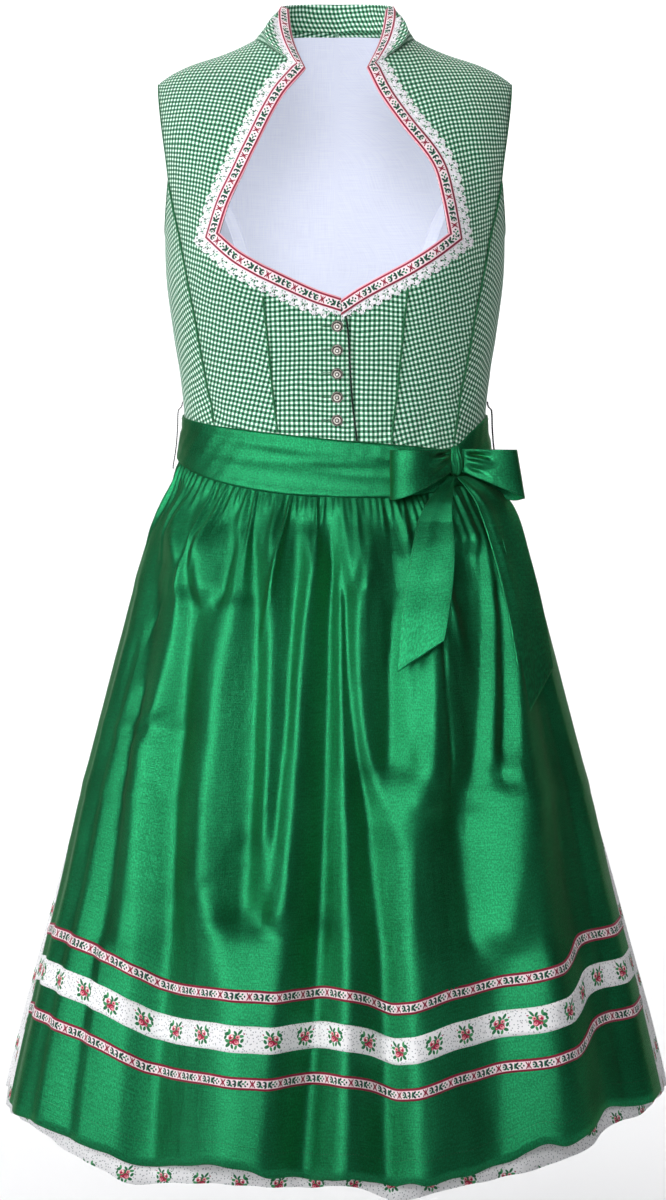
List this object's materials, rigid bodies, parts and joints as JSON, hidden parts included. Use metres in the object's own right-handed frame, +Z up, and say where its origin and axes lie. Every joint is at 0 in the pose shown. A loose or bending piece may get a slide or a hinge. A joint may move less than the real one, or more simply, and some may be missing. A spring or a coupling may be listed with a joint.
{
  "type": "dirndl dress",
  "caption": "Sleeveless checked dirndl dress with a stand collar, buttoned bodice, gathered taffeta apron, sash with a side bow and a white skirt below.",
  "frame": {"origin": "middle of the line through the shoulders, which carries the dress", "axes": "+Z up, front of the dress faces -Y, the wearer's left side is +X"},
  "size_m": [0.6942, 0.5951, 1.1851],
  "materials": {
    "gingham_cotton": "green and white woven check, matt",
    "lining_cotton": "pale plain cotton, matt",
    "woven_ribbon": "woven ribbon with red edges and small flowers",
    "white_lace": "white cotton lace, matt",
    "green_piping": "dark green cord covered in cloth",
    "antique_silver": "antique silver, darkened in its hollows",
    "green_taffeta": "green shot taffeta with a soft sheen",
    "rose_print_cotton": "white cotton with a small rose print",
    "black_thread": "black sewing thread"
  },
  "bodies": {
    "root": {"front_centre_right": "gingham_cotton", "front_centre_left": "gingham_cotton", "front_side_right": "gingham_cotton", "front_side_left": "gingham_cotton", "side_front_right": "gingham_cotton", "side_front_left": "gingham_cotton", "back_side_right": "gingham_cotton", "back_side_left": "gingham_cotton", "back_centre": "gingham_cotton", "collar_back": "gingham_cotton", "lining_back": "lining_cotton", "lining_side_right": "lining_cotton", "lining_side_left": "lining_cotton", "neck_ribbon_right": "woven_ribbon", "neck_ribbon_left": "woven_ribbon", "trim_ribbon_upper": "woven_ribbon", "trim_ribbon_lower": "woven_ribbon", "neck_lace_right": "white_lace", "neck_lace_left": "white_lace", "piping_front_right": "green_piping", "piping_front_left": "green_piping", "piping_side_right": "green_piping", "piping_side_left": "green_piping", "piping_back_right": "green_piping", "piping_back_left": "green_piping", "piping_armhole_right": "green_piping", "piping_armhole_left": "green_piping", "button_1": "antique_silver", "button_2": "antique_silver", "button_3": "antique_silver", "button_4": "antique_silver", "button_5": "antique_silver", "sash": "green_taffeta", "bow_knot": "green_taffeta", "bow_loop_right": "green_taffeta", "bow_loop_left": "green_taffeta", "bow_tail_right": "green_taffeta", "bow_tail_left": "green_taffeta", "apron_skirt": "green_taffeta", "trim_floral": "rose_print_cotton", "skirt_front": "rose_print_cotton", "skirt_back": "rose_print_cotton", "belt_loop_right": "black_thread", "belt_loop_left": "black_thread"}
  },
  "joints": []
}
